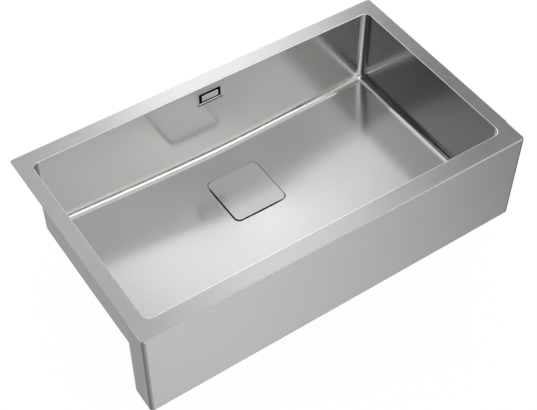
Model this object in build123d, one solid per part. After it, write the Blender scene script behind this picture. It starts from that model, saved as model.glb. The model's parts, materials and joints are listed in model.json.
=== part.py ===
"""Apron-front kitchen sink in stainless sheet, with its waste, overflow, pads and worktop clips.

Millimetres. +X runs to the right along the apron, +Y to the back, +Z up. The origin is the
centre of the waste outlet's mouth, where the trap screws on, and the waste's axis is Z.
"""

from build123d import *
import math
import os

# Deck, apron and bowl, as seen from above ------------------------------------------------
BOWL_X = 740.0  # inside length of the bowl, and of the deck's opening
BOWL_Y = 400.0  # inside depth, front to back
BOWL_CORNER_R = 15.0  # upright corners, inside
SIDE_RIM = 27.5
FRONT_RIM = 35.5
BACK_RIM = 30.5
DECK_T = 1.2  # sheet of the deck and apron
DECK_BACK_R = 5.0  # rounding of the deck's back corners
APRON_H = 204.0
APRON_CORNER_R = 7.0  # upright bends between the apron and its returns, outside
APRON_BEND_R = 2.5  # bend from deck to apron and from apron to bottom flange, outside
RETURN_D = 51.0  # how far the returns run back from the apron's face
FLANGE_W = 18.0  # bottom flange of apron and returns
OPENING_EDGE_R = 1.1  # polished edge of the opening
RIM_SEAL_T = 1.5  # foam strip that the rim beds on
RIM_SEAL_W = 8.0
RIM_SEAL_INSET = 1.0  # from the deck's edge

# Bowl -----------------------------------------------------------------------------------
SHEET = 1.0  # sheet of the bowl
BOWL_DEPTH = 190.0  # from the deck's top to the floor at the waste recess
COVE_R = 14.5  # between walls and floor, inside
FLOOR_FALL = 0.05  # rise of the floor for each millimetre away from the waste
WASTE_TO_BACK = 121.5  # waste axis to the bowl's back wall
BOWL_FLANGE = 10.0  # lap of the bowl under the deck
WASTE_HOLE_R = 45.0  # the usual 90 mm hole
RECESS_MARGIN = 2.75  # strainer's flange to the sides of the square recess pressed round it
RECESS_CORNER_R = 12.0
RECESS_DEPTH = 8.0
COVE_TOP = 2 * COVE_R  # how far the bowl's core runs above the deck before it is cut level

# Waste ----------------------------------------------------------------------------------
OUTLET_R = 23.9  # G 1 1/2 thread, outside
OUTLET_BORE_R = 20.0
OUTLET_THREAD = 16.0
COLLAR_R = 27.0
COLLAR_T = 3.0
BODY_H = 92.0  # outlet mouth to the top of the body's flange
BODY_OVER_HOLE = 2.0  # body's outside beyond the waste hole's edge
BODY_WALL = 2.5
BODY_CONE_Z = 40.0  # top of the cone below the body's cylinder
BODY_FLANGE_INSET = 1.0  # from the strainer's flange
BODY_FLANGE_T = 4.0
WASTE_GASKET_T = 3.0
GASKET_INSET = 1.0  # gaskets' bores beyond the waste hole's edge
STRAINER_GASKET_T = 1.5
STRAINER_T = 1.2
STRAINER_LAP = 11.0  # flange beyond the waste hole's edge
CUP_INSET = 4.0  # cup's inside to the waste hole's edge
STRAINER_SHELF = 27.7  # depth of the shelf below the flange's top
SUMP_STEP = 14.0  # shelf's width, cup to sump
SUMP_DEPTH = 19.0
SUMP_HOLES = 6
SUMP_HOLE_R = 5.5
SUMP_HOLE_INSET = 10.0  # holes' centres to the sump's side
PRESS_BEVEL = 1.5  # bends of the cup, hollow side
MOUTH_BEVEL = 1.0  # from flange to cup
SCREW_R = 3.0
SCREW_POINT = 0.6
SCREW_TAIL = 2.0
SCREW_HEAD_R = 5.5
SCREW_HEAD_H = 3.5
SCREW_CROWN = 1.0
HUB_R = 7.0
HUB_H = 16.0
HUB_Z = 20.0
INSERT_R = 4.6
INSERT_FLANGE_R = 6.5
INSERT_FLANGE_T = 2.0
RIB_T = 3.0
RIB_H = 13.0
RIBS = 4

# Basket and cover -----------------------------------------------------------------------
BASKET_WALL = 0.8
BASKET_SLOPE = 6.4  # top's radius beyond the foot's
BASKET_GAP = 1.6  # wall's top to the cup
BASKET_H = 22.0
BASKET_LIP = 0.9
BASKET_BEND = 1.5  # bevel from floor to wall
BASKET_SEAL_T = 2.0
BASKET_SEAL_W = 4.0
WALL_SLOTS = 16
FLOOR_SLOTS = 8
SLOT_W = 3.2
WALL_SLOT_H = 11.0
FLOOR_SLOT_L = 11.0
FLOOR_SLOT_INSET = 14.5  # their middles to the foot's edge
POST_R = 3.0
POST_NECK_R = 4.0
POST_SHOULDER_R = 7.0
POST_SHOULDER_T = 2.0
POST_TAPER = 3.0
POST_TAIL = 1.0
POST_TIP_GAP = 0.8  # below the cover
POST_TIP = 0.8
KNOB_R = 9.0
KNOB_H = 5.0
KNOB_TAPER = 2.0
KNOB_EDGE = 1.0
KNOB_GAP = 1.4  # knob's top to the cover's collar
BASKET_NUT_R = 6.0
BASKET_NUT_T = 3.0
COVER_GAP = 2.25  # to the recess's sides
COVER_CORNER_R = 10.0
COVER_T = 1.5
COVER_PROUD = 3.0  # above the floor at the recess
COVER_EDGE = 0.4
COVER_FOOT = 7.0
COVER_COLLAR_T = 3.0
COVER_COLLAR_H = 4.4

# Overflow -------------------------------------------------------------------------------
SLOT_X = 47.5  # opening in the back wall
SLOT_Z = 24.0
SLOT_CORNER_R = 1.5
SLOT_BEVEL = 0.5  # bright edge of the opening
SLOT_BELOW_RIM = 30.0  # deck's top to the middle of the opening
SEAT_X = 57.0  # pressed seat round the opening
SEAT_Z = 32.0
SEAT_CORNER_R = 3.0
SEAT_DEPTH = 0.8
SEAT_SLOPE = 2.0  # width of the seat's sloping border
PLATE_X = 36.5  # plate that floats in the opening
PLATE_Z = 13.5
PLATE_T = 1.2
PLATE_CORNER_R = 1.0
PLATE_EDGE = 0.3
PEG_R = 2.5
PEG_AT = 11.0
PEG_L = 18.5
PEG_GRIP = 9.5  # peg's length in its socket
SOCKET_WALL = 2.0
OVERFLOW_GASKET_T = 2.0
HEAD_X = 56.0
HEAD_Z = 32.0
HEAD_D = 22.0
HEAD_WALL = 3.0
HEAD_CORNER_R = 4.0
HEAD_BACK = 1.5  # chamfer round the back
HEAD_CLEAR = 1.5  # cavity beyond the opening, all round
EAR_X = 84.0
EAR_T = 3.0
STUD_AT = 36.0
STUD_R = 2.0
STUD_HOLE_R = 2.3
STUD_L = 12.0
STUD_BASE_R = 3.2
STUD_BASE_T = 0.8
STUD_NUT_FLATS = 7.0
STUD_NUT_T = 3.2
SPIGOT_R = 10.5
SPIGOT_BORE_R = 8.3
SPIGOT_L = 18.0
PIPE_R = 8.0
PIPE_WALL = 1.5
PIPE_BEND_R = 24.0
PIPE_INSERTION = 12.0
BRANCH_BELOW = 26.0  # top of the body's flange to the branch's axis
BRANCH_END = 69.0
UNION_SEAL_T = 4.0
UNION_LIP_T = 2.0
SEAL_INSET = 0.2
UNION_NUT_R = 13.0
UNION_NUT_L = 18.0
UNION_NUT_SIDES = 12

# Sound-deadening pads -------------------------------------------------------------------
PAD_T = 3.0
GLUE_LINE = 0.1  # film between a pad and the coned floor
SIDE_PAD_X = 250.0
SIDE_PAD_Y = 330.0
SIDE_PAD_GAP = 90.0  # waste axis to the near edge
SIDE_PAD_CY = -76.0
FRONT_PAD_X = 150.0
FRONT_PAD_Y = 180.0
FRONT_PAD_CY = -170.0
BACK_PAD_X = 230.0
BACK_PAD_Z = 90.0
BACK_PAD_AT = 175.0
BACK_PAD_CZ = 178.0
BOWL_FRONT_PAD_X = 520.0
BOWL_FRONT_PAD_Z = 100.0
APRON_PAD_X = 640.0
APRON_PAD_Z = 130.0
FRONT_PAD_CZ = 190.0

# Worktop clips --------------------------------------------------------------------------
CLIP_WIDTH = 24.0
CLIP_TOP = 8.0  # deck's top to the bracket's top ear
CLIP_H = 36.0
CLIP_REACH = 14.5  # ear, out from the bowl's wall
CLIP_SHEET = 2.0
CLIP_EAR_BEVEL = 5.0
CLIP_AXIS = 8.5  # screw, out from the bowl's wall
CLIP_SCREW_R = 2.5
CLIP_HOLE_R = 2.8
CLIP_SCREW_TAIL = 2.0  # past the top ear
CLIP_HEAD_FLATS = 8.0
CLIP_HEAD_T = 3.5
CLIP_NUT_FLATS = 9.5
CLIP_NUT_T = 3.0
CLIP_NUT_GAP = 0.3  # above the bottom ear when the claw is right down
CLIP_COLLAR_R = 4.5
CLIP_COLLAR_PROUD = 0.5  # above the claw
CLAW_T = 2.5
CLAW_HUB_R = 6.0
CLAW_L = 30.0
CLAW_TIP_W = 9.0
CLAW_TIP_H = 6.0
CLAW_TEETH = 3
CLAW_TOOTH = 1.5
SIDE_CLIP_FRONT = -205.0  # along Y
SIDE_CLIP_REAR = 48.0
BACK_CLIP_AT = 220.0  # along X, either side

# Running clearances, on the radius ------------------------------------------------------
SLIDE_FIT = 0.05
LOOSE_FIT = 0.1
THROUGH = 1.0  # how far a cutter runs past what it cuts
TINY = 1e-3  # two places nearer than this are the same

# Worked out from the sizes above --------------------------------------------------------
DECK_W = BOWL_X + 2 * SIDE_RIM
DECK_D = FRONT_RIM + BOWL_Y + BACK_RIM
BACK_WALL_Y = WASTE_TO_BACK
FRONT_WALL_Y = BACK_WALL_Y - BOWL_Y
BOWL_CY = (BACK_WALL_Y + FRONT_WALL_Y) / 2
APRON_Y = FRONT_WALL_Y - FRONT_RIM
DECK_BACK_Y = BACK_WALL_Y + BACK_RIM
STRAINER_FLANGE_R = WASTE_HOLE_R + STRAINER_LAP
RECESS_SIZE = 2 * (STRAINER_FLANGE_R + RECESS_MARGIN)
SEAT_TOP = BODY_H + WASTE_GASKET_T  # underside of the waste recess
RECESS_Z = SEAT_TOP + SHEET
FLOOR_Z = RECESS_Z + RECESS_DEPTH  # floor at the middle of the recess's edge
APEX_Z = FLOOR_Z - FLOOR_FALL * RECESS_SIZE / 2
RIM_Z = FLOOR_Z + BOWL_DEPTH
FLANGE_TOP = RIM_Z - DECK_T
APRON_BOTTOM = RIM_Z - APRON_H
OUTER_BACK_Y = BACK_WALL_Y + SHEET
OUTER_FRONT_Y = FRONT_WALL_Y - SHEET
BRANCH_Z = BODY_H - BRANCH_BELOW
BODY_R = WASTE_HOLE_R + BODY_OVER_HOLE
STRAINER_TOP = RECESS_Z + STRAINER_GASKET_T + STRAINER_T
BODY_FLANGE_R = STRAINER_FLANGE_R - BODY_FLANGE_INSET
GASKET_BORE_R = WASTE_HOLE_R + GASKET_INSET
STRAINER_R = WASTE_HOLE_R - CUP_INSET
SUMP_R = STRAINER_R - SUMP_STEP
BASKET_TOP_R = STRAINER_R - BASKET_GAP
BASKET_FOOT_R = BASKET_TOP_R - BASKET_SLOPE
SHELF_Z = STRAINER_TOP - STRAINER_SHELF
SUMP_Z = SHELF_Z - SUMP_DEPTH
BASKET_Z = SHELF_Z + BASKET_SEAL_T
COVER_SIZE = RECESS_SIZE - 2 * COVER_GAP
COVER_Z = FLOOR_Z + COVER_PROUD - COVER_T  # underside of the cover
COVER_FOOT_PCR = (STRAINER_R + MOUTH_BEVEL + STRAINER_FLANGE_R) / 2  # middle of the flange
SLOT_CZ = RIM_Z - SLOT_BELOW_RIM
SEAT_BACK_Y = OUTER_BACK_Y + SEAT_DEPTH
HEAD_Y = SEAT_BACK_Y + OVERFLOW_GASKET_T  # front of the overflow head
HEAD_BACK_Y = HEAD_Y + HEAD_D
PIPE_Y = HEAD_Y + HEAD_D / 2
SPIGOT_END = SLOT_CZ - HEAD_Z / 2 - SPIGOT_L
CLIP_EAR_Z = RIM_Z - CLIP_TOP - CLIP_H  # underside of the bottom ear


def solid_of_revolution(corners):
    """Turn a closed profile of (radius, height) corners about the waste's axis."""
    return revolve(make_face(Plane.XZ * Polyline(*corners, close=True)), axis=Axis.Z)


def bar(radius, length):
    """Solid round bar along +Z from the origin."""
    return extrude(Circle(radius), amount=length)


def ring(outer_r, inner_r, low, high):
    """Flat ring or tube about the waste's axis."""
    face = Circle(outer_r) - Circle(inner_r)
    return extrude(Pos(0, 0, low) * face, amount=high - low)


def upright_block(x_size, y_size, corner_r, low, high, centre_y=0.0):
    """Block with rounded upright corners between two heights."""
    outline = Pos(0, centre_y, low) * RectangleRounded(x_size, y_size, corner_r)
    return extrude(outline, amount=high - low)


def wall_block(x_size, z_size, corner_r, near, far, centre_x=0.0, centre_z=0.0):
    """Block seen from the front, its corners rounded if corner_r, between two depths."""
    plane = Plane((centre_x, near, centre_z), x_dir=(1, 0, 0), z_dir=(0, 1, 0))
    outline = RectangleRounded(x_size, z_size, corner_r) if corner_r else Rectangle(x_size, z_size)
    return extrude(plane * outline, amount=far - near)


def dish(x_size, z_size, corner_r, start, depth, slope):
    """Cutter for a shallow dish in a wall, seen from the front, narrower at its bottom."""
    plane = Plane((0, start, SLOT_CZ), x_dir=(1, 0, 0), z_dir=(0, 1, 0))
    outline = plane * RectangleRounded(x_size, z_size, corner_r)
    return extrude(outline, amount=depth, taper=math.degrees(math.atan2(slope, depth)))


def along_y(part, start):
    """Lay a part that was made along +Z down along +Y, from a given depth."""
    return Pos(0, start, 0) * Rot(-90, 0, 0) * part


def plan(x_size, front, back, front_r, back_r):
    """Plan outline with its own roundings in front and behind; 0 leaves a corner sharp."""
    outline = Pos(0, (front + back) / 2) * Rectangle(x_size, back - front)
    if front_r:
        outline = fillet(outline.vertices().group_by(Axis.Y)[0], front_r)
    if back_r:
        outline = fillet(outline.vertices().group_by(Axis.Y)[-1], back_r)
    return outline


# Deck and apron -------------------------------------------------------------------------
def folded_block(inset):
    """Block filling the apron and its returns, drawn in by `inset` from the outer faces."""
    front = APRON_Y + inset
    back = APRON_Y + RETURN_D
    outline = plan(DECK_W - 2 * inset, front, back, APRON_CORNER_R - inset, 0)
    block = extrude(Pos(0, 0, APRON_BOTTOM + inset) * outline, amount=APRON_H - 2 * inset)
    level = [edge for edge in block.edges() if edge.bounding_box().size.Z < TINY]
    bends = [edge for edge in level if edge.bounding_box().min.Y < back - TINY]
    return fillet(bends, APRON_BEND_R - inset)


def make_deck_apron():
    """Deck, apron, returns and bottom flange, folded from one sheet."""
    back = APRON_Y + RETURN_D
    inner = folded_block(DECK_T)
    inner += extrude(inner.faces().sort_by(Axis.Y)[-1], amount=THROUGH)
    apron = folded_block(0) - inner
    flange_gap = plan(DECK_W - 2 * FLANGE_W, APRON_Y + FLANGE_W, back + THROUGH, 0, 0)
    apron -= extrude(Pos(0, 0, APRON_BOTTOM - THROUGH) * flange_gap, amount=DECK_T + 2 * THROUGH)
    rear_deck = plan(DECK_W, back, DECK_BACK_Y, 0, DECK_BACK_R)
    sheet = apron + extrude(Pos(0, 0, FLANGE_TOP) * rear_deck, amount=DECK_T)
    sheet -= upright_block(BOWL_X, BOWL_Y, BOWL_CORNER_R, FLOOR_Z, RIM_Z + THROUGH, BOWL_CY)
    rims = [edge for edge in sheet.edges() if on_opening_edge(edge)]
    return fillet(rims, OPENING_EDGE_R)


def on_opening_edge(edge):
    """True for the upper edges of the deck's opening."""
    box = edge.bounding_box()
    level = box.min.Z > RIM_Z - TINY
    inside_x = max(abs(box.min.X), abs(box.max.X)) < BOWL_X / 2 + TINY
    inside_y = box.min.Y > FRONT_WALL_Y - TINY and box.max.Y < BACK_WALL_Y + TINY
    return level and inside_x and inside_y


def make_rim_seal():
    """Foam strip under the left, back and right rims, outside the clips."""
    front = APRON_Y + RETURN_D + RIM_SEAL_INSET
    back = DECK_BACK_Y - RIM_SEAL_INSET
    width = DECK_W - 2 * RIM_SEAL_INSET
    strip = plan(width, front, back, 0, DECK_BACK_R - RIM_SEAL_INSET)
    strip -= plan(width - 2 * RIM_SEAL_W, front - THROUGH, back - RIM_SEAL_W, 0, 0)
    return extrude(Pos(0, 0, FLANGE_TOP - RIM_SEAL_T) * strip, amount=RIM_SEAL_T)


# Bowl -----------------------------------------------------------------------------------
def bowl_core():
    """Bowl's filling drawn in by the cove's radius: upright walls on a coned floor."""
    tip = APEX_Z + COVE_R * math.hypot(1, FLOOR_FALL)
    above = RIM_Z + COVE_TOP
    reach = BOWL_X + BOWL_Y
    walls = upright_block(
        BOWL_X - 2 * COVE_R, BOWL_Y - 2 * COVE_R, BOWL_CORNER_R - COVE_R, 0, above, BOWL_CY
    )
    cone = solid_of_revolution(
        [
            (0, tip),
            (reach, tip + FLOOR_FALL * reach),
            (reach, above + reach),
            (0, above + reach),
        ]
    )
    return walls & cone


def bowl_fill(grow):
    """Solid that fills the bowl up to the deck, grown outwards by `grow`, coves rounded."""
    swollen = offset(bowl_core(), amount=COVE_R + grow, kind=Kind.ARC)
    below_deck = Box(DECK_W, 2 * DECK_D, FLANGE_TOP, align=(Align.CENTER, Align.CENTER, Align.MIN))
    return swollen & below_deck


def make_bowl():
    """Sheet bowl with its lap flange, waste recess and overflow seat."""
    flange = upright_block(
        BOWL_X + 2 * BOWL_FLANGE,
        BOWL_Y + 2 * BOWL_FLANGE,
        BOWL_CORNER_R + BOWL_FLANGE,
        FLANGE_TOP - SHEET,
        FLANGE_TOP,
        BOWL_CY,
    )
    recess_shell = upright_block(
        RECESS_SIZE + 2 * SHEET,
        RECESS_SIZE + 2 * SHEET,
        RECESS_CORNER_R + SHEET,
        SEAT_TOP,
        FLOOR_Z,
    )
    seat_shell = wall_block(
        SEAT_X + 2 * SHEET,
        SEAT_Z + 2 * SHEET,
        SEAT_CORNER_R + SHEET,
        BACK_WALL_Y,
        SEAT_BACK_Y,
        centre_z=SLOT_CZ,
    )
    bowl = bowl_fill(SHEET) + flange + recess_shell + seat_shell
    bowl -= bowl_fill(0)
    bowl -= upright_block(RECESS_SIZE, RECESS_SIZE, RECESS_CORNER_R, RECESS_Z, RIM_Z)
    bowl -= Pos(0, 0, BODY_H) * bar(WASTE_HOLE_R, RECESS_DEPTH)
    bowl -= dish(SEAT_X, SEAT_Z, SEAT_CORNER_R, BACK_WALL_Y, SEAT_DEPTH, SEAT_SLOPE)
    mouth_x = SLOT_X + 2 * SLOT_BEVEL
    mouth_z = SLOT_Z + 2 * SLOT_BEVEL
    mouth_r = SLOT_CORNER_R + SLOT_BEVEL
    bowl -= dish(mouth_x, mouth_z, mouth_r, BACK_WALL_Y + SEAT_DEPTH, SLOT_BEVEL, SLOT_BEVEL)
    return bowl - wall_block(
        SLOT_X, SLOT_Z, SLOT_CORNER_R, BOWL_CY, DECK_BACK_Y, centre_z=SLOT_CZ
    )


# Sound-deadening pads -------------------------------------------------------------------
def floor_pad(x_size, y_size, centre_x, centre_y):
    """Pad glued under the coned floor."""
    layer = bowl_fill(SHEET + GLUE_LINE + PAD_T) - bowl_fill(SHEET + GLUE_LINE)
    outline = Pos(centre_x, centre_y) * Rectangle(x_size, y_size)
    return layer & extrude(outline, amount=RIM_Z)


def make_pads():
    """Every pad by name."""
    side_x = SIDE_PAD_GAP + SIDE_PAD_X / 2
    front_face = APRON_Y + DECK_T
    pads = {
        "floor_pad_left": floor_pad(SIDE_PAD_X, SIDE_PAD_Y, -side_x, SIDE_PAD_CY),
        "floor_pad_right": floor_pad(SIDE_PAD_X, SIDE_PAD_Y, side_x, SIDE_PAD_CY),
        "floor_pad_front": floor_pad(FRONT_PAD_X, FRONT_PAD_Y, 0, FRONT_PAD_CY),
        "bowl_front_pad": wall_block(
            BOWL_FRONT_PAD_X,
            BOWL_FRONT_PAD_Z,
            0,
            OUTER_FRONT_Y - PAD_T,
            OUTER_FRONT_Y,
            centre_z=FRONT_PAD_CZ,
        ),
        "apron_pad": wall_block(
            APRON_PAD_X,
            APRON_PAD_Z,
            0,
            front_face,
            front_face + PAD_T,
            centre_z=FRONT_PAD_CZ,
        ),
    }
    for side, sign in (("left", -1), ("right", 1)):
        pads["back_pad_" + side] = wall_block(
            BACK_PAD_X,
            BACK_PAD_Z,
            0,
            OUTER_BACK_Y,
            OUTER_BACK_Y + PAD_T,
            sign * BACK_PAD_AT,
            BACK_PAD_CZ,
        )
    return pads


# Waste ----------------------------------------------------------------------------------
def make_waste_body():
    """Moulded body below the bowl, with the outlet, the overflow branch and the screw's hub."""
    flange_z = BODY_H - BODY_FLANGE_T
    collar_top = OUTLET_THREAD + COLLAR_T
    outside = solid_of_revolution(
        [
            (0, 0),
            (OUTLET_R, 0),
            (OUTLET_R, OUTLET_THREAD),
            (COLLAR_R, OUTLET_THREAD),
            (COLLAR_R, collar_top),
            (BODY_R, BODY_CONE_Z),
            (BODY_R, flange_z),
            (BODY_FLANGE_R, flange_z),
            (BODY_FLANGE_R, BODY_H),
            (0, BODY_H),
        ]
    )
    inner_r = BODY_R - BODY_WALL
    inside = solid_of_revolution(
        [
            (0, -THROUGH),
            (OUTLET_BORE_R, -THROUGH),
            (OUTLET_BORE_R, collar_top - BODY_WALL / 2),
            (inner_r, BODY_CONE_Z + BODY_WALL / 2),
            (inner_r, BODY_H + THROUGH),
            (0, BODY_H + THROUGH),
        ]
    )
    branch = along_y(bar(SPIGOT_R, BRANCH_END - inner_r), inner_r)
    branch_bore = along_y(bar(SPIGOT_BORE_R, BRANCH_END + THROUGH), 0)
    body = outside + Pos(0, 0, BRANCH_Z) * branch - inside - Pos(0, 0, BRANCH_Z) * branch_bore
    rib = Box(2 * inner_r, RIB_T, RIB_H, align=(Align.CENTER, Align.CENTER, Align.MIN))
    ribs = sum((Rot(0, 0, 360 / RIBS * k) * rib for k in range(RIBS // 2)), start=Part())
    body += Pos(0, 0, HUB_Z) * ribs & outside
    body += Pos(0, 0, HUB_Z) * bar(HUB_R, HUB_H)
    return body - Pos(0, 0, HUB_Z - THROUGH) * bar(INSERT_R + LOOSE_FIT, HUB_H + 2 * THROUGH)


def make_screw_insert():
    """Brass insert that the waste screw pulls against the hub's underside."""
    bottom = HUB_Z - INSERT_FLANGE_T
    bore = SCREW_R + LOOSE_FIT
    return solid_of_revolution(
        [
            (bore, bottom),
            (INSERT_FLANGE_R, bottom),
            (INSERT_FLANGE_R, HUB_Z),
            (INSERT_R, HUB_Z),
            (INSERT_R, HUB_Z + HUB_H),
            (bore, HUB_Z + HUB_H),
        ]
    )


def make_waste_screw():
    """Screw that clamps strainer, bowl and body together."""
    bottom = HUB_Z - INSERT_FLANGE_T - SCREW_TAIL
    screw = solid_of_revolution(
        [
            (0, bottom),
            (SCREW_R - SCREW_POINT, bottom),
            (SCREW_R, bottom + SCREW_POINT),
            (SCREW_R, SUMP_Z),
            (SCREW_HEAD_R, SUMP_Z),
            (SCREW_HEAD_R, SUMP_Z + SCREW_HEAD_H - SCREW_CROWN),
            (SCREW_HEAD_R - SCREW_CROWN, SUMP_Z + SCREW_HEAD_H),
            (0, SUMP_Z + SCREW_HEAD_H),
        ]
    )
    socket = RegularPolygon(SCREW_R, 6)
    return screw - extrude(Pos(0, 0, SUMP_Z + SCREW_HEAD_H / 2) * socket, amount=SCREW_HEAD_H)


def make_strainer_body():
    """Pressed cup with its flange, shelf for the basket's seal and pierced sump."""
    outer = STRAINER_R + STRAINER_T
    sump_outer = SUMP_R + STRAINER_T
    under = STRAINER_TOP - STRAINER_T
    cup = solid_of_revolution(
        [
            (0, SUMP_Z - STRAINER_T),
            (sump_outer, SUMP_Z - STRAINER_T),
            (sump_outer, SHELF_Z - STRAINER_T),
            (outer, SHELF_Z - STRAINER_T),
            (outer, under),
            (STRAINER_FLANGE_R, under),
            (STRAINER_FLANGE_R, STRAINER_TOP),
            (STRAINER_R + MOUTH_BEVEL, STRAINER_TOP),
            (STRAINER_R, STRAINER_TOP - MOUTH_BEVEL),
            (STRAINER_R, SHELF_Z + PRESS_BEVEL),
            (STRAINER_R - PRESS_BEVEL, SHELF_Z),
            (SUMP_R, SHELF_Z),
            (SUMP_R, SUMP_Z + PRESS_BEVEL),
            (SUMP_R - PRESS_BEVEL, SUMP_Z),
            (0, SUMP_Z),
        ]
    )
    holes = PolarLocations(SUMP_R - SUMP_HOLE_INSET, SUMP_HOLES) * Circle(SUMP_HOLE_R)
    pattern = Sketch() + holes + Circle(SCREW_R + LOOSE_FIT)
    below = Pos(0, 0, SUMP_Z - STRAINER_T - THROUGH)
    return cup - extrude(below * pattern, amount=STRAINER_T + 2 * THROUGH)


def make_basket():
    """Lift-out cup, slotted in its floor and its wall."""
    top = BASKET_Z + BASKET_H
    lip_r = BASKET_TOP_R + BASKET_LIP
    cup = solid_of_revolution(
        [
            (0, BASKET_Z),
            (BASKET_FOOT_R - BASKET_BEND, BASKET_Z),
            (BASKET_FOOT_R, BASKET_Z + BASKET_BEND),
            (BASKET_TOP_R, top - BASKET_WALL),
            (lip_r, top - BASKET_WALL),
            (lip_r, top),
            (BASKET_TOP_R - BASKET_WALL, top),
            (BASKET_FOOT_R - BASKET_WALL, BASKET_Z + BASKET_BEND),
            (BASKET_FOOT_R - BASKET_BEND, BASKET_Z + BASKET_WALL),
            (0, BASKET_Z + BASKET_WALL),
        ]
    )
    slot_r = BASKET_FOOT_R - FLOOR_SLOT_INSET
    slots = PolarLocations(slot_r, FLOOR_SLOTS) * Rectangle(FLOOR_SLOT_L, SLOT_W)
    pattern = Sketch() + slots + Circle(POST_R + LOOSE_FIT)
    cup -= extrude(Pos(0, 0, BASKET_Z - THROUGH) * pattern, amount=BASKET_WALL + 2 * THROUGH)
    middle = ((BASKET_FOOT_R + BASKET_TOP_R) / 2, 0, BASKET_Z + BASKET_H / 2)
    cutter = Pos(middle) * Box(BASKET_TOP_R - BASKET_FOOT_R, SLOT_W, WALL_SLOT_H)
    for k in range(WALL_SLOTS):
        cup -= Rot(0, 0, 360 / WALL_SLOTS * k) * cutter
    return cup


def make_basket_post():
    """Turned post through the basket's floor, with the knob and the cover's spigot."""
    tail = BASKET_Z - BASKET_NUT_T - POST_TAIL
    shoulder = BASKET_Z + BASKET_WALL
    neck = shoulder + POST_SHOULDER_T + POST_TAPER
    knob_top = COVER_Z - COVER_COLLAR_H - KNOB_GAP
    knob_low = knob_top - KNOB_H
    tip = COVER_Z - POST_TIP_GAP
    return solid_of_revolution(
        [
            (0, tail),
            (POST_R, tail),
            (POST_R, shoulder),
            (POST_SHOULDER_R, shoulder),
            (POST_SHOULDER_R, shoulder + POST_SHOULDER_T),
            (POST_NECK_R, neck),
            (POST_NECK_R, knob_low),
            (KNOB_R, knob_low + KNOB_TAPER),
            (KNOB_R, knob_top - KNOB_EDGE),
            (KNOB_R - KNOB_EDGE, knob_top),
            (POST_NECK_R, knob_top),
            (POST_NECK_R, tip - POST_TIP),
            (POST_NECK_R - POST_TIP, tip),
            (0, tip),
        ]
    )


def make_waste_parts():
    """Every piece of the waste by name."""
    foot_pitch = COVER_FOOT_PCR * math.sqrt(2)
    feet = GridLocations(foot_pitch, foot_pitch, 2, 2) * Rectangle(COVER_FOOT, COVER_FOOT)
    basket_nut = RegularPolygon(BASKET_NUT_R, 6) - Circle(POST_R + LOOSE_FIT)
    collar_bore = POST_NECK_R + SLIDE_FIT
    plate = upright_block(COVER_SIZE, COVER_SIZE, COVER_CORNER_R, COVER_Z, COVER_Z + COVER_T)
    plate = chamfer(plate.faces().sort_by(Axis.Z)[-1].edges(), COVER_EDGE)
    collar = ring(collar_bore + COVER_COLLAR_T, collar_bore, COVER_Z - COVER_COLLAR_H, COVER_Z)
    gasket_top = RECESS_Z + STRAINER_GASKET_T
    return {
        "waste_body": make_waste_body(),
        "waste_gasket": ring(BODY_FLANGE_R, GASKET_BORE_R, BODY_H, SEAT_TOP),
        "strainer_gasket": ring(STRAINER_FLANGE_R, GASKET_BORE_R, RECESS_Z, gasket_top),
        "strainer_body": make_strainer_body(),
        "screw_insert": make_screw_insert(),
        "waste_screw": make_waste_screw(),
        "basket": make_basket(),
        "basket_post": make_basket_post(),
        "basket_nut": extrude(
            Pos(0, 0, BASKET_Z - BASKET_NUT_T) * basket_nut, amount=BASKET_NUT_T
        ),
        "basket_seal": ring(BASKET_FOOT_R, BASKET_FOOT_R - BASKET_SEAL_W, SHELF_Z, BASKET_Z),
        "waste_cover": plate + collar,
        "cover_feet": extrude(
            Pos(0, 0, STRAINER_TOP) * (Sketch() + feet), amount=COVER_Z - STRAINER_TOP
        ),
    }


# Overflow -------------------------------------------------------------------------------
def make_overflow_head():
    """Moulded box behind the opening, with two sockets in front and a spigot below."""
    cavity_x = SLOT_X + 2 * HEAD_CLEAR
    cavity_z = SLOT_Z + 2 * HEAD_CLEAR
    inner_back = HEAD_BACK_Y - HEAD_WALL
    ears = wall_block(EAR_X, HEAD_Z, HEAD_CORNER_R, HEAD_Y, HEAD_Y + EAR_T, centre_z=SLOT_CZ)
    box = wall_block(HEAD_X, HEAD_Z, HEAD_CORNER_R, HEAD_Y, HEAD_BACK_Y, centre_z=SLOT_CZ)
    box = chamfer(box.faces().sort_by(Axis.Y)[-1].edges(), HEAD_BACK)
    spigot = Pos(0, PIPE_Y, SPIGOT_END) * bar(SPIGOT_R, SPIGOT_L + HEAD_WALL / 2)
    spigot_bore = bar(SPIGOT_BORE_R, SPIGOT_L + HEAD_Z / 2 + THROUGH)
    head = box + ears + spigot
    head -= wall_block(cavity_x, cavity_z, 0, HEAD_Y - THROUGH, inner_back, centre_z=SLOT_CZ)
    head -= Pos(0, PIPE_Y, SPIGOT_END - THROUGH) * spigot_bore
    socket_y = BACK_WALL_Y + PLATE_T + PEG_L - PEG_GRIP
    for side in (-1, 1):
        post = along_y(bar(PEG_R + SOCKET_WALL, HEAD_BACK_Y - HEAD_WALL / 2 - socket_y), socket_y)
        bore = along_y(bar(PEG_R + SLIDE_FIT, inner_back - socket_y), socket_y)
        ear_hole = along_y(bar(STUD_HOLE_R, EAR_T + 2 * THROUGH), HEAD_Y - THROUGH)
        head += Pos(side * PEG_AT, 0, SLOT_CZ) * post
        head -= Pos(side * PEG_AT, 0, SLOT_CZ) * bore
        head -= Pos(side * STUD_AT, 0, SLOT_CZ) * ear_hole
    return head


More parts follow.
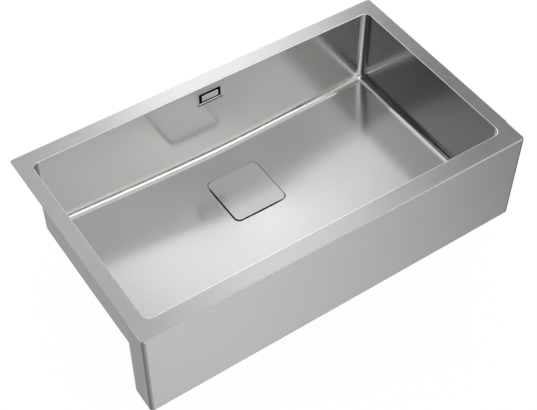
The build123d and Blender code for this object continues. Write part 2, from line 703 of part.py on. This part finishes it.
def make_overflow_cover():
    """Plate flush with the back wall, on two pegs that push into the head's sockets."""
    near = BACK_WALL_Y
    plate = wall_block(
        PLATE_X, PLATE_Z, PLATE_CORNER_R, near, near + PLATE_T, centre_z=SLOT_CZ
    )
    plate = chamfer(plate.faces().sort_by(Axis.Y)[0].edges(), PLATE_EDGE)
    for side in (-1, 1):
        peg = along_y(bar(PEG_R, PEG_L), near + PLATE_T)
        plate += Pos(side * PEG_AT, 0, SLOT_CZ) * peg
    return plate


def make_union(outward):
    """Seal and nut that close a pipe into a spigot; `outward` is the way the spigot points.

    Both are made along +Z with the spigot's end face at the origin.
    """
    seal = Circle(SPIGOT_R - SEAL_INSET) - Circle(PIPE_R + SLIDE_FIT)
    seal = extrude(seal, amount=UNION_SEAL_T)
    length = UNION_NUT_L
    start = UNION_SEAL_T + UNION_LIP_T - length
    grip = RegularPolygon(UNION_NUT_R, UNION_NUT_SIDES)
    nut = extrude(Pos(0, 0, start) * grip, amount=length)
    thread = bar(SPIGOT_R + LOOSE_FIT, length - UNION_LIP_T + THROUGH)
    nut -= Pos(0, 0, start - THROUGH) * (thread + bar(SPIGOT_BORE_R, length + 2 * THROUGH))
    return outward * seal, outward * nut


def make_overflow_pipe():
    """Rigid pipe from the head down behind the bowl and forward to the waste."""
    path = FilletPolyline(
        (0, PIPE_Y, SPIGOT_END + PIPE_INSERTION),
        (0, PIPE_Y, BRANCH_Z),
        (0, BRANCH_END - PIPE_INSERTION, BRANCH_Z),
        radius=PIPE_BEND_R,
    )
    section = Plane(path @ 0, z_dir=path % 0) * (Circle(PIPE_R) - Circle(PIPE_R - PIPE_WALL))
    return sweep(section, path=path)


def make_overflow_parts():
    """Every piece of the overflow by name."""
    top_seal, top_nut = make_union(Pos(0, PIPE_Y, SPIGOT_END) * Rot(180, 0, 0))
    low_seal, low_nut = make_union(Pos(0, BRANCH_END, BRANCH_Z) * Rot(-90, 0, 0))
    gasket = wall_block(SEAT_X, SEAT_Z, SEAT_CORNER_R, SEAT_BACK_Y, HEAD_Y, centre_z=SLOT_CZ)
    gasket -= wall_block(
        SLOT_X + HEAD_CLEAR, SLOT_Z + HEAD_CLEAR, 0, BACK_WALL_Y, PIPE_Y, centre_z=SLOT_CZ
    )
    studs = Part()
    nuts = Part()
    nut_face = RegularPolygon(STUD_NUT_FLATS / 2, 6, major_radius=False)
    nut = extrude(nut_face - Circle(STUD_R + LOOSE_FIT), amount=STUD_NUT_T)
    for side in (-1, 1):
        stud = bar(STUD_BASE_R, STUD_BASE_T) + bar(STUD_R, STUD_L)
        studs += Pos(side * STUD_AT, 0, SLOT_CZ) * along_y(stud, OUTER_BACK_Y)
        nuts += Pos(side * STUD_AT, 0, SLOT_CZ) * along_y(nut, HEAD_Y + EAR_T)
    return {
        "overflow_head": make_overflow_head(),
        "overflow_gasket": gasket,
        "overflow_cover": make_overflow_cover(),
        "overflow_studs": studs,
        "overflow_nuts": nuts,
        "overflow_pipe": make_overflow_pipe(),
        "overflow_top_seal": top_seal,
        "overflow_top_nut": top_nut,
        "overflow_bottom_seal": low_seal,
        "overflow_bottom_nut": low_nut,
    }


# Worktop clips --------------------------------------------------------------------------
def clip_places():
    """Frame of each clip by name: +X out from the bowl's wall, Z up from the deck's zero."""
    side_x = BOWL_X / 2 + SHEET
    return {
        "left_front": (Pos(-side_x, SIDE_CLIP_FRONT, 0) * Rot(0, 0, 180), -1),
        "left_rear": (Pos(-side_x, SIDE_CLIP_REAR, 0) * Rot(0, 0, 180), 1),
        "right_front": (Pos(side_x, SIDE_CLIP_FRONT, 0), 1),
        "right_rear": (Pos(side_x, SIDE_CLIP_REAR, 0), -1),
        "back_left": (Pos(-BACK_CLIP_AT, OUTER_BACK_Y, 0) * Rot(0, 0, 90), -1),
        "back_right": (Pos(BACK_CLIP_AT, OUTER_BACK_Y, 0) * Rot(0, 0, 90), 1),
    }


def clip_bracket():
    """Folded strip welded to the bowl's wall, with an ear above and below the claw."""
    middle = CLIP_REACH / 2
    strip = Pos(middle, 0, CLIP_EAR_Z) * Box(
        CLIP_REACH, CLIP_WIDTH, CLIP_H, align=(Align.CENTER, Align.CENTER, Align.MIN)
    )
    gap = Pos(CLIP_SHEET, 0, CLIP_EAR_Z + CLIP_SHEET) * Box(
        CLIP_REACH,
        CLIP_WIDTH,
        CLIP_H - 2 * CLIP_SHEET,
        align=(Align.MIN, Align.CENTER, Align.MIN),
    )
    free = strip.edges().filter_by(Axis.Z).group_by(Axis.X)[-1]
    strip = chamfer(free, CLIP_EAR_BEVEL) - gap
    hole = Pos(CLIP_AXIS, 0, CLIP_EAR_Z - THROUGH) * bar(CLIP_HOLE_R, CLIP_H + 2 * THROUGH)
    return strip - hole


def clip_screw():
    """Hex-headed screw up through both ears."""
    head = RegularPolygon(CLIP_HEAD_FLATS / 2, 6, major_radius=False)
    shank = bar(CLIP_SCREW_R, CLIP_H + CLIP_SCREW_TAIL)
    screw = extrude(Pos(0, 0, -CLIP_HEAD_T) * head, amount=CLIP_HEAD_T) + shank
    return Pos(CLIP_AXIS, 0, CLIP_EAR_Z) * screw


def clip_nut():
    """Nut that climbs the screw, with a collar on which the claw turns."""
    bore = CLIP_SCREW_R + SLIDE_FIT
    flats = RegularPolygon(CLIP_NUT_FLATS / 2, 6, major_radius=False) - Circle(bore)
    nut = extrude(flats, amount=CLIP_NUT_T)
    nut += ring(CLIP_COLLAR_R, bore, 0, CLIP_NUT_T + CLAW_T + CLIP_COLLAR_PROUD)
    return Pos(CLIP_AXIS, 0, CLIP_EAR_Z + CLIP_SHEET + CLIP_NUT_GAP) * nut


def clip_claw(hand):
    """Claw lying along the wall, its toothed tip turned up; `hand` is the way it points."""
    outline = Polyline(
        (-CLAW_HUB_R),
        (-CLAW_TIP_W / 2, CLAW_L),
        (CLAW_TIP_W / 2, CLAW_L),
        (CLAW_HUB_R),
        close=True,
    )
    claw = extrude(make_face(outline) + Circle(CLAW_HUB_R), amount=CLAW_T)
    claw += Pos(0, CLAW_L - CLAW_T / 2, 0) * claw_tip()
    claw -= Pos(0, 0, -THROUGH) * bar(CLIP_COLLAR_R + SLIDE_FIT, CLAW_T + 2 * THROUGH)
    if hand < 0:
        claw = mirror(claw, about=Plane.XZ)
    lift = CLIP_EAR_Z + CLIP_SHEET + CLIP_NUT_GAP + CLIP_NUT_T
    return Pos(CLIP_AXIS, 0, lift) * claw


def claw_tip():
    """Upturned end of a claw with its row of teeth."""
    pitch = CLAW_TIP_W / CLAW_TEETH
    corners = [(-CLAW_TIP_W / 2, 0)]
    for k in range(CLAW_TEETH):
        left = k * pitch - CLAW_TIP_W / 2
        corners += [(left, CLAW_TIP_H), (left + pitch / 2, CLAW_TIP_H + CLAW_TOOTH)]
    corners += [(CLAW_TIP_W / 2, CLAW_TIP_H), (CLAW_TIP_W / 2, 0)]
    face = make_face(Plane.XZ * Polyline(*corners, close=True))
    return extrude(face, amount=CLAW_T / 2, both=True)


def make_clip_parts():
    """Every piece of the clips by name; brackets and screws each share one node."""
    brackets = Part()
    screws = Part()
    parts = {}
    for name, (place, hand) in clip_places().items():
        brackets += place * clip_bracket()
        screws += place * clip_screw()
        parts["clip_nut_" + name] = place * clip_nut()
        parts["clip_claw_" + name] = place * clip_claw(hand)
    return {"clip_brackets": brackets, "clip_screws": screws, **parts}


def main():
    """Make every piece and write each to its own file."""
    parts = {"deck_apron": make_deck_apron(), "rim_seal": make_rim_seal(), "bowl": make_bowl()}
    parts |= make_pads() | make_waste_parts() | make_overflow_parts() | make_clip_parts()
    os.makedirs("parts", exist_ok=True)
    for name, part in parts.items():
        export_step(part, f"parts/{name}.step")


main()
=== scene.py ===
"""Looks of the apron-front sink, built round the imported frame. Metres, +Z up."""
import json
import math

import bpy
from mathutils import Matrix, Vector

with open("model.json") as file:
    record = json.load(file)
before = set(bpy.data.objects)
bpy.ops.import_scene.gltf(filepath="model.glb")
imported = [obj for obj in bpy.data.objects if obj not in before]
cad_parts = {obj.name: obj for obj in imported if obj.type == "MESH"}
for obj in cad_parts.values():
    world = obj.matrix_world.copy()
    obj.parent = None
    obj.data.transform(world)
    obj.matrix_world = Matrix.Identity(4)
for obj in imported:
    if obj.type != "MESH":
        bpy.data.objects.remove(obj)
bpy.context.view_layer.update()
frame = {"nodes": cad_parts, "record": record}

# Camera, solved from the straight edges of the deck, opening, apron and return -----------
IMAGE_W = 537  # photograph, pixels
FOCAL_PX = 1164.4
SENSOR_MM = 36.0
VIEW_REACH = 60.0
CAMERA_AT = Vector((-0.8038, -1.2555, 1.8075))
LOOK = Vector((0.3660, 0.5366, -0.7603))
RIGHT = Vector((0.8285, -0.5598, 0.0038))


def make_camera():
    """Camera at the photograph's place and angle."""
    data = bpy.data.cameras.new("camera")
    data.sensor_width = SENSOR_MM
    data.lens = SENSOR_MM * FOCAL_PX / IMAGE_W
    data.clip_end = VIEW_REACH
    camera = bpy.data.objects.new("camera", data)
    bpy.context.scene.collection.objects.link(camera)
    back = -LOOK.normalized()
    right = (RIGHT - RIGHT.dot(back) * back).normalized()
    turn = Matrix((right, back.cross(right), back)).transposed()
    camera.matrix_world = Matrix.Translation(CAMERA_AT) @ turn.to_4x4()
    bpy.context.scene.camera = camera


# Node helpers ------------------------------------------------------------------------------
class Tree:
    """A material's or world's node tree, with short calls for the nodes used here."""

    def __init__(self, tree):
        self.tree = tree

    def node(self, kind, **settings):
        """Node of a kind; settings are its own attributes."""
        made = self.tree.nodes.new(kind)
        for key, value in settings.items():
            setattr(made, key, value)
        return made

    def feed(self, socket, value):
        """Link a socket to another one, or set its value."""
        if isinstance(value, bpy.types.NodeSocket):
            self.tree.links.new(value, socket)
        else:
            socket.default_value = value

    def math(self, operation, a, b=0.0, c=0.0):
        """Number from a Math node."""
        made = self.node("ShaderNodeMath", operation=operation)
        for socket, value in zip(made.inputs, (a, b, c)):
            self.feed(socket, value)
        return made.outputs[0]

    def vector(self, operation, a, b=(0.0, 0.0, 0.0)):
        """Vector from a Vector Math node, or its number for a dot product or a length."""
        made = self.node("ShaderNodeVectorMath", operation=operation)
        self.feed(made.inputs[0], a)
        self.feed(made.inputs[1], b)
        return made.outputs["Value" if operation in ("DOT_PRODUCT", "LENGTH") else "Vector"]

    def ramp(self, value, low, high, out_low=0.0, out_high=1.0, smooth=True):
        """Number moved from one range to another, held at its ends."""
        kind = "SMOOTHSTEP" if smooth else "LINEAR"
        made = self.node("ShaderNodeMapRange", interpolation_type=kind, clamp=True)
        for socket, number in zip(made.inputs, (value, low, high, out_low, out_high)):
            self.feed(socket, number)
        return made.outputs["Result"]

    def noise(self, vector, scale, detail=2.0, roughness=0.5):
        """Noise from 0 to 1."""
        made = self.node("ShaderNodeTexNoise")
        self.feed(made.inputs["Vector"], vector)
        made.inputs["Scale"].default_value = scale
        made.inputs["Detail"].default_value = detail
        made.inputs["Roughness"].default_value = roughness
        return made.outputs["Fac"]

    def place(self):
        """Point on the piece, in the frame's metres."""
        return self.node("ShaderNodeTexCoord").outputs["Object"]

    def normal(self):
        """Direction that the surface faces."""
        return self.node("ShaderNodeNewGeometry").outputs["Normal"]

    def combine(self, x, y, z):
        """Vector from three numbers."""
        made = self.node("ShaderNodeCombineXYZ")
        for socket, value in zip(made.inputs, (x, y, z)):
            self.feed(socket, value)
        return made.outputs[0]

    def stretch(self, parts, scales):
        """Vector from three numbers, each times its own scale."""
        return self.combine(*(self.math("MULTIPLY", a, b) for a, b in zip(parts, scales)))

    def split(self, vector):
        """The three numbers of a vector."""
        made = self.node("ShaderNodeSeparateXYZ")
        self.feed(made.inputs[0], vector)
        return made.outputs

    def blend(self, factor, a, b):
        """Blend of two vectors."""
        made = self.node("ShaderNodeMix", data_type="VECTOR")
        for socket, value in zip((made.inputs[0], made.inputs[4], made.inputs[5]), (factor, a, b)):
            self.feed(socket, value)
        return made.outputs[1]

    def tint(self, colour, factor):
        """A colour made lighter or darker by a number."""
        return self.vector("MULTIPLY", colour, self.combine(factor, factor, factor))

    def bump(self, height, distance, normal=None):
        """Normal bent by a height from 0 to 1, whose full step is the distance."""
        made = self.node("ShaderNodeBump")
        made.inputs["Strength"].default_value = 1.0
        made.inputs["Distance"].default_value = distance
        self.feed(made.inputs["Height"], height)
        if normal is not None:
            self.feed(made.inputs["Normal"], normal)
        return made.outputs[0]


def new_material(name):
    """Material, its node tree and its shader."""
    material = bpy.data.materials.new(name)
    material.use_nodes = True
    return material, Tree(material.node_tree), material.node_tree.nodes["Principled BSDF"]


def dress(names, material):
    """Give a material to CAD nodes."""
    for name in names:
        slots = frame["nodes"][name].data.materials
        slots.clear()
        slots.append(material)


# Sheet steel -------------------------------------------------------------------------------
STEEL = (0.60, 0.596, 0.588)
# the same steel painted lighter: painted light on the overflow's plate
PAINTED_LIGHT_STEEL = (0.66, 0.655, 0.645)
DECK_ROUGH = 0.22
DECK_BEND_ROUGH = 0.45
DECK_ANISO = 0.7
BOWL_ROUGH = 0.16
BOWL_BEND_ROUGH = 0.09
BOWL_ANISO = 0.4
PLATE_BEND_ROUGH = 0.1

LINE = 0.0004  # width of a brushing line
LINE_LENGTH = 0.025
LINE_DEPTH = 0.000006
FINE_LINES = (1 / LINE_LENGTH, 1 / LINE, 100)  # noise steps a metre along, over and through
BROAD_BANDS = (4, 260, 40)
SMUDGES = 7
CORE = (0.3, 0.7)  # most of a noise lies between these

SATIN = 0.03  # how far the roughness swings between fine lines
BAND_SATIN = 0.04
BAND_SHADE = 0.03
SMUDGE_SHADE = 0.015
SMUDGE_POLISH = -0.012

# Steepness is 0 on a level face and 1 on a wall
WALL_STARTS = (0.15, 0.25)  # brushing turns from along X to level
BEND_STARTS = (0.12, 0.3)
BEND_ENDS = (0.95, 0.995)

OPENING_X = 0.3712  # the deck's polished edge lies inside these
OPENING_Y = (-0.2797, 0.1227)
EDGE_Z = 0.2925
EDGE_STARTS = (0.08, 0.2)
EDGE_ROUGH = 0.06
EDGE_PAINTED_HIGHLIGHT = 1.5  # painted highlight: the polished edge's colour made this much lighter than the brushed sheet's


def brushing(nodes):
    """Steepness, direction across the brushing, and place along, over and through it.

    The brushing runs along X on level faces and level along the walls.
    """
    normal, place = nodes.normal(), nodes.place()
    level = nodes.vector("CROSS_PRODUCT", normal, (0, 0, 1))
    steepness = nodes.vector("LENGTH", level)
    wall = nodes.ramp(steepness, *WALL_STARTS)
    grain = nodes.blend(wall, (1, 0, 0), nodes.vector("NORMALIZE", level))
    grain = nodes.vector("NORMALIZE", grain)
    across = nodes.vector("NORMALIZE", nodes.vector("CROSS_PRODUCT", normal, grain))
    parts = [nodes.vector("DOT_PRODUCT", place, way) for way in (grain, across, normal)]
    return steepness, across, parts


def opening_edge(nodes, steepness):
    """1 on the polished edge round the deck's opening, else 0."""
    x, y, z = nodes.split(nodes.place())
    edge = nodes.math("LESS_THAN", nodes.math("ABSOLUTE", x), OPENING_X)
    edge = nodes.math("MULTIPLY", edge, nodes.math("GREATER_THAN", y, OPENING_Y[0]))
    edge = nodes.math("MULTIPLY", edge, nodes.math("LESS_THAN", y, OPENING_Y[1]))
    edge = nodes.math("MULTIPLY", edge, nodes.math("GREATER_THAN", z, EDGE_Z))
    return nodes.math("MULTIPLY", edge, nodes.ramp(steepness, *EDGE_STARTS))


def brushed_steel(name, colour, roughness, bend_rough, anisotropic, lines, has_edge=False):
    """Stainless sheet with fine brushing lines, a satin that varies and faint smudges, and with
    has_edge a painted highlight lightening the opening's polished edge.
    """
    material, nodes, shader = new_material(name)
    steepness, across, parts = brushing(nodes)
    scratch = nodes.noise(nodes.stretch(parts, FINE_LINES), 1.0, 3, 0.6)
    band = nodes.noise(nodes.stretch(parts, BROAD_BANDS), 1.0, 2)
    smudge = nodes.noise(nodes.place(), SMUDGES, 3)

    swing = BAND_SHADE * lines
    shade = nodes.ramp(band, *CORE, 1 - swing, 1 + swing, smooth=False)
    smudged = nodes.ramp(smudge, *CORE, 1 - SMUDGE_SHADE, 1 + SMUDGE_SHADE)
    shade = nodes.math("MULTIPLY", shade, smudged)

    swing = SATIN * lines
    satin = nodes.ramp(scratch, *CORE, roughness - swing, roughness + swing, smooth=False)
    satin = nodes.math("MULTIPLY_ADD", band, BAND_SATIN * lines, satin)
    satin = nodes.math("ADD", satin, nodes.ramp(smudge, *CORE, SMUDGE_POLISH, 0.0))
    bend = nodes.math(
        "MULTIPLY",
        nodes.ramp(steepness, *BEND_STARTS),
        nodes.ramp(steepness, *BEND_ENDS, 1.0, 0.0),
    )
    satin = nodes.math("MULTIPLY_ADD", bend, bend_rough - roughness, satin)
    if has_edge:
        edge = opening_edge(nodes, steepness)
        satin = nodes.math("MULTIPLY_ADD", nodes.math("SUBTRACT", EDGE_ROUGH, satin), edge, satin)
        # painted highlight: the polished edge's colour lifted over the sheet's
        shade = nodes.math("MULTIPLY", shade, nodes.ramp(edge, 0.0, 1.0, 1.0, EDGE_PAINTED_HIGHLIGHT))

    nodes.feed(shader.inputs["Base Color"], nodes.tint(colour, shade))
    nodes.feed(shader.inputs["Roughness"], satin)
    nodes.feed(shader.inputs["Normal"], nodes.bump(scratch, LINE_DEPTH * lines))
    nodes.feed(shader.inputs["Tangent"], across)
    shader.inputs["Metallic"].default_value = 1
    shader.inputs["Anisotropic"].default_value = anisotropic
    return material


# Turned metal ------------------------------------------------------------------------------
STEEL_RINGS = 2600  # noise steps a metre
STEEL_RING_DEPTH = 0.000015
STEEL_RING_SATIN = 0.08
STAINS = 45
STAIN_SATIN = 0.05
TURNED_ANISO = 0.5

BRASS = (0.72, 0.55, 0.25)
BRASS_RINGS = 3000
BRASS_RING_DEPTH = 0.00002
TARNISH = 150


def rings(nodes, scale, detail, roughness=0.5):
    """Noise in rings round the waste's axis and along it."""
    x, y, z = nodes.split(nodes.place())
    radius = nodes.vector("LENGTH", nodes.combine(x, y, 0.0))
    out, up = (nodes.math("MULTIPLY", part, scale) for part in (radius, z))
    return nodes.noise(nodes.combine(out, up, 0.0), 1.0, detail, roughness)


def turned_steel(name, colour, roughness):
    """Pressed and turned stainless with fine rings round the waste's axis."""
    material, nodes, shader = new_material(name)
    turning = rings(nodes, STEEL_RINGS, 3, 0.6)
    stain = nodes.noise(nodes.place(), STAINS, 3)
    shade = nodes.ramp(stain, *CORE, 0.95, 1.03)
    nodes.feed(shader.inputs["Base Color"], nodes.tint(colour, shade))
    satin = nodes.math("MULTIPLY_ADD", turning, STEEL_RING_SATIN, roughness - STEEL_RING_SATIN / 2)
    satin = nodes.math("ADD", satin, nodes.ramp(stain, 0.35, 0.7, 0.0, STAIN_SATIN))
    nodes.feed(shader.inputs["Roughness"], satin)
    nodes.feed(shader.inputs["Normal"], nodes.bump(turning, STEEL_RING_DEPTH))
    round_axis = nodes.vector("CROSS_PRODUCT", (0, 0, 1), nodes.place())
    out = nodes.vector("CROSS_PRODUCT", nodes.normal(), round_axis)
    nodes.feed(shader.inputs["Tangent"], nodes.vector("NORMALIZE", out))
    shader.inputs["Metallic"].default_value = 1
    shader.inputs["Anisotropic"].default_value = TURNED_ANISO
    return material


def turned_brass(name):
    """Turned brass with tool lines and a little tarnish."""
    material, nodes, shader = new_material(name)
    turning = rings(nodes, BRASS_RINGS, 2)
    tarnish = nodes.noise(nodes.place(), TARNISH, 4, 0.6)
    shade = nodes.ramp(tarnish, 0.35, 0.75, 1.05, 0.7)
    nodes.feed(shader.inputs["Base Color"], nodes.tint(BRASS, shade))
    nodes.feed(shader.inputs["Roughness"], nodes.ramp(tarnish, 0.3, 0.75, 0.2, 0.42))
    nodes.feed(shader.inputs["Normal"], nodes.bump(turning, BRASS_RING_DEPTH))
    shader.inputs["Metallic"].default_value = 1
    return material


# Fittings ----------------------------------------------------------------------------------
FITTING = (0.55, 0.555, 0.56)
CLOUDS = 120
PITS = 1800
PIT_DEPTH = 0.00004
THREAD_PITCH = 0.0008
THREAD_DEPTH = 0.0003


def fitting_steel(name, thread_pitch=None):
    """Plain zinc-bright fittings, cloudy and slightly pitted, threaded where a pitch is given."""
    material, nodes, shader = new_material(name)
    cloud = nodes.noise(nodes.place(), CLOUDS, 4, 0.6)
    shade = nodes.ramp(cloud, *CORE, 0.88, 1.06)
    nodes.feed(shader.inputs["Base Color"], nodes.tint(FITTING, shade))
    nodes.feed(shader.inputs["Roughness"], nodes.ramp(cloud, 0.25, 0.75, 0.24, 0.42))
    bump = nodes.bump(nodes.noise(nodes.place(), PITS, 3, 0.6), PIT_DEPTH)
    if thread_pitch:
        z = nodes.split(nodes.place())[2]
        flank = nodes.math("PINGPONG", nodes.math("MULTIPLY", z, 1 / thread_pitch), 0.5)
        bump = nodes.bump(nodes.math("MULTIPLY", flank, 2.0), THREAD_DEPTH, bump)
    nodes.feed(shader.inputs["Normal"], bump)
    shader.inputs["Metallic"].default_value = 1
    return material


# Plastic and rubber ------------------------------------------------------------------------
WHITE = (0.74, 0.74, 0.72)
BLACK = (0.02, 0.02, 0.021)
SPARK_GRAIN = 2200
SPARK_DEPTH = 0.00006
FLOW = 25
PLASTIC_SHINE = 0.45

RUBBER = (0.035, 0.035, 0.037)
BLOOM = 90
RUBBER_SKIN = 3000
RUBBER_SKIN_DEPTH = 0.00005

PAD = (0.12, 0.122, 0.126)
PAD_CELL = 0.011  # pitch of the squares pressed into the pads
PAD_GROOVE = 0.0014
PAD_DEPTH = 0.0008
PAD_FACING = 0.6  # a face this square to an axis has no groove across that axis
DUST = 60
PAD_SKIN = 2500
PAD_SKIN_DEPTH = 0.00006


def moulded_plastic(name, colour, roughness):
    """Moulded polypropylene with a fine spark-eroded grain and slight flow shading."""
    material, nodes, shader = new_material(name)
    grain = nodes.noise(nodes.place(), SPARK_GRAIN, 2, 0.5)
    shade = nodes.ramp(nodes.noise(nodes.place(), FLOW, 2), *CORE, 0.93, 1.03)
    nodes.feed(shader.inputs["Base Color"], nodes.tint(colour, shade))
    nodes.feed(shader.inputs["Roughness"], nodes.math("MULTIPLY_ADD", grain, 0.12, roughness))
    nodes.feed(shader.inputs["Normal"], nodes.bump(grain, SPARK_DEPTH))
    shader.inputs["Specular IOR Level"].default_value = PLASTIC_SHINE
    return material


def rubber(name, colour, roughness):
    """Moulded rubber, matt, with a powdery bloom."""
    material, nodes, shader = new_material(name)
    bloom = nodes.noise(nodes.place(), BLOOM, 4, 0.6)
    skin = nodes.noise(nodes.place(), RUBBER_SKIN, 2)
    shade = nodes.ramp(bloom, 0.35, 0.75, 0.85, 1.7)
    nodes.feed(shader.inputs["Base Color"], nodes.tint(colour, shade))
    nodes.feed(shader.inputs["Roughness"], nodes.math("MULTIPLY_ADD", bloom, 0.2, roughness))
    nodes.feed(shader.inputs["Normal"], nodes.bump(skin, RUBBER_SKIN_DEPTH))
    return material


def waffle(nodes):
    """1 on the pad's pressed squares, 0 in the grooves between them."""
    rises = []
    for along, facing in zip(nodes.split(nodes.place()), nodes.split(nodes.normal())):
        step = nodes.math("PINGPONG", along, PAD_CELL / 2)
        rise = nodes.ramp(step, PAD_GROOVE / 2, PAD_GROOVE)
        square = nodes.math("GREATER_THAN", nodes.math("ABSOLUTE", facing), PAD_FACING)
        rises.append(nodes.math("MAXIMUM", rise, square))
    over_x, over_y, over_z = rises
    return nodes.math("MULTIPLY", nodes.math("MULTIPLY", over_x, over_y), over_z)


def deadening_pad(name, colour):
    """Rubber sheet pressed with a waffle of small squares, dusty on top, with painted shade
    darkening the grooves.
    """
    material, nodes, shader = new_material(name)
    height = waffle(nodes)
    dust = nodes.noise(nodes.place(), DUST, 4, 0.6)
    skin = nodes.noise(nodes.place(), PAD_SKIN, 2)
    dusty = nodes.ramp(dust, 0.3, 0.75, 0.85, 1.35)
    # painted shade: the grooves between the squares made darker
    shade = nodes.math("MULTIPLY", dusty, nodes.ramp(height, 0.0, 1.0, 0.55, 1.0))
    nodes.feed(shader.inputs["Base Color"], nodes.tint(colour, shade))
    nodes.feed(shader.inputs["Roughness"], nodes.math("MULTIPLY_ADD", dust, 0.2, 0.55))
    pressed = nodes.bump(height, PAD_DEPTH)
    nodes.feed(shader.inputs["Normal"], nodes.bump(skin, PAD_SKIN_DEPTH, pressed))
    return material


# Every piece's material --------------------------------------------------------------------
def sheet_plate(name, colour):
    """The waste's cover and the overflow's plate."""
    return brushed_steel(name, colour, BOWL_ROUGH, PLATE_BEND_ROUGH, BOWL_ANISO, 0.5)


def dress_all():
    """Every CAD node's material, by its record's slot, then the few that differ."""
    by_slot = {}
    for row in frame["record"]["subparts"]:
        by_slot.setdefault(row["material_slot"], []).append(row["node"])
    made = {
        "deck_apron": brushed_steel(
            "deck_steel", STEEL, DECK_ROUGH, DECK_BEND_ROUGH, DECK_ANISO, 0.65, has_edge=True
        ),
        "bowl": brushed_steel(
            "bowl_steel", STEEL, BOWL_ROUGH, BOWL_BEND_ROUGH, BOWL_ANISO, 0.35
        ),
        "waste_cover": sheet_plate("cover_steel", STEEL),
        # painted light: the overflow's plate gets the lighter copy of the steel
        "overflow_cover": sheet_plate("plate_steel", PAINTED_LIGHT_STEEL),
        "strainer_body": turned_steel("strainer_steel", STEEL, 0.16),
        "basket": turned_steel("basket_steel", STEEL, 0.14),
        "fittings": fitting_steel("fitting_steel"),
        "plastic": moulded_plastic("white_plastic", WHITE, 0.38),
        "rubber": rubber("black_rubber", RUBBER, 0.5),
        "pads": deadening_pad("deadening_rubber", PAD),
        "brass": turned_brass("turned_brass"),
    }
    for slot, names in by_slot.items():
        dress(names, made[slot])
    dress(["clip_screws"], fitting_steel("threaded_steel", THREAD_PITCH))
    dress(["overflow_head"], moulded_plastic("black_plastic", BLACK, 0.4))


# Studio --------------------------------------------------------------------------------------
BASE = 0.08  # strength where no light reaches
# Soft lights of the studio: bearing from straight behind towards the right, height above the
# horizon, half width, all in degrees, and strength
LIGHTS = (
    (0, 90, 50, 0.6),  # overhead
    (0, 10, 28, 2.4),  # bright wall behind
    (30, 14, 26, 1.8),
    (330, 14, 28, 2.4),
    (330, 42, 22, 0.5),
    (345, 52, 20, 0.45),
    (300, 2, 28, 1.0),  # left
    (270, -12, 30, 0.5),
    (90, 52, 26, 0.7),  # right
    (150, 24, 28, 1.5),  # in front
    (150, 50, 24, 0.45),
    (195, 45, 26, 0.8),
    (198, 20, 32, 1.0),
    (25, 20, 9, 1.0),  # narrow ones, for the streaks and the edges
    (27, 32, 9, 1.2),
    (31, 42, 9, 1.2),
    (40, 56, 9, 0.65),
    (37, 50, 9, 0.15),
    (20, 46, 12, 0.5),
    (56, 18, 9, 3.5),
    (90, -16, 28, 0.55),  # just below the horizon, for level views
    (0, -14, 30, 0.5),
    (182, -10, 32, 0.75),
    (172, -52, 32, 0.45),  # from the pale floor
    (150, -45, 24, 0.5),
    (325, -50, 30, 0.4),
    (236, -50, 28, 0.3),
)


def make_world():
    """Pale studio: soft lights to the object, plain white to the camera."""
    world = bpy.data.worlds.new("studio")
    bpy.context.scene.world = world
    world.use_nodes = True
    nodes = Tree(world.node_tree)
    there = nodes.node("ShaderNodeTexCoord").outputs["Generated"]
    total = BASE
    for bearing, height, width, strength in LIGHTS:
        a, e = math.radians(bearing), math.radians(height)
        towards = (math.cos(e) * math.sin(a), math.cos(e) * math.cos(a), math.sin(e))
        near = nodes.vector("DOT_PRODUCT", there, towards)
        lobe = nodes.ramp(near, math.cos(math.radians(width)), 1.0)
        total = nodes.math("MULTIPLY_ADD", lobe, strength, total)
    seen = nodes.node("ShaderNodeLightPath").outputs["Is Camera Ray"]
    total = nodes.ramp(seen, 0.0, 1.0, total, 1.0, smooth=False)
    back = world.node_tree.nodes["Background"]
    nodes.feed(back.inputs["Strength"], total)
    back.inputs["Color"].default_value = (1, 1, 1, 1)


FLOOR_SIZE = 8.0
FLOOR_Z = -0.001
FLOOR = (0.8, 0.8, 0.8, 1)
FLOOR_ROUGH = 0.9
SHADOW = 0.06  # how much of the floor's own shading the camera sees
GLOW = 1.03  # makes the floor white away from the shadow


def make_floor():
    """Pale floor. The camera sees it white with a faint shadow of the object."""
    half = FLOOR_SIZE / 2
    corners = [(-half, -half, 0), (half, -half, 0), (half, half, 0), (-half, half, 0)]
    mesh = bpy.data.meshes.new("floor")
    mesh.from_pydata(corners, [], [(0, 1, 2, 3)])
    floor = bpy.data.objects.new("floor", mesh)
    bpy.context.scene.collection.objects.link(floor)
    floor.location.z = FLOOR_Z
    floor.visible_glossy = False  # metal shows the pale studio below the horizon
    material, nodes, shader = new_material("floor")
    shader.inputs["Base Color"].default_value = FLOOR
    shader.inputs["Roughness"].default_value = FLOOR_ROUGH
    glow = nodes.node("ShaderNodeEmission")
    glow.inputs["Color"].default_value = (1, 1, 1, 1)
    glow.inputs["Strength"].default_value = GLOW
    mix = nodes.node("ShaderNodeMixShader")
    seen = nodes.node("ShaderNodeLightPath").outputs["Is Camera Ray"]
    nodes.feed(mix.inputs[0], nodes.math("MULTIPLY", seen, 1 - SHADOW))
    nodes.feed(mix.inputs[1], shader.outputs[0])
    nodes.feed(mix.inputs[2], glow.outputs[0])
    one_sided = nodes.node("ShaderNodeMixShader")  # views from below look through it
    nodes.feed(one_sided.inputs[0], nodes.node("ShaderNodeNewGeometry").outputs["Backfacing"])
    nodes.feed(one_sided.inputs[1], mix.outputs[0])
    nodes.feed(one_sided.inputs[2], nodes.node("ShaderNodeBsdfTransparent").outputs[0])
    surface = material.node_tree.nodes["Material Output"].inputs["Surface"]
    nodes.feed(surface, one_sided.outputs[0])
    floor.data.materials.append(material)


dress_all()
make_floor()
make_world()
make_camera()

scene = bpy.context.scene
scene.view_settings.view_transform = "Standard"
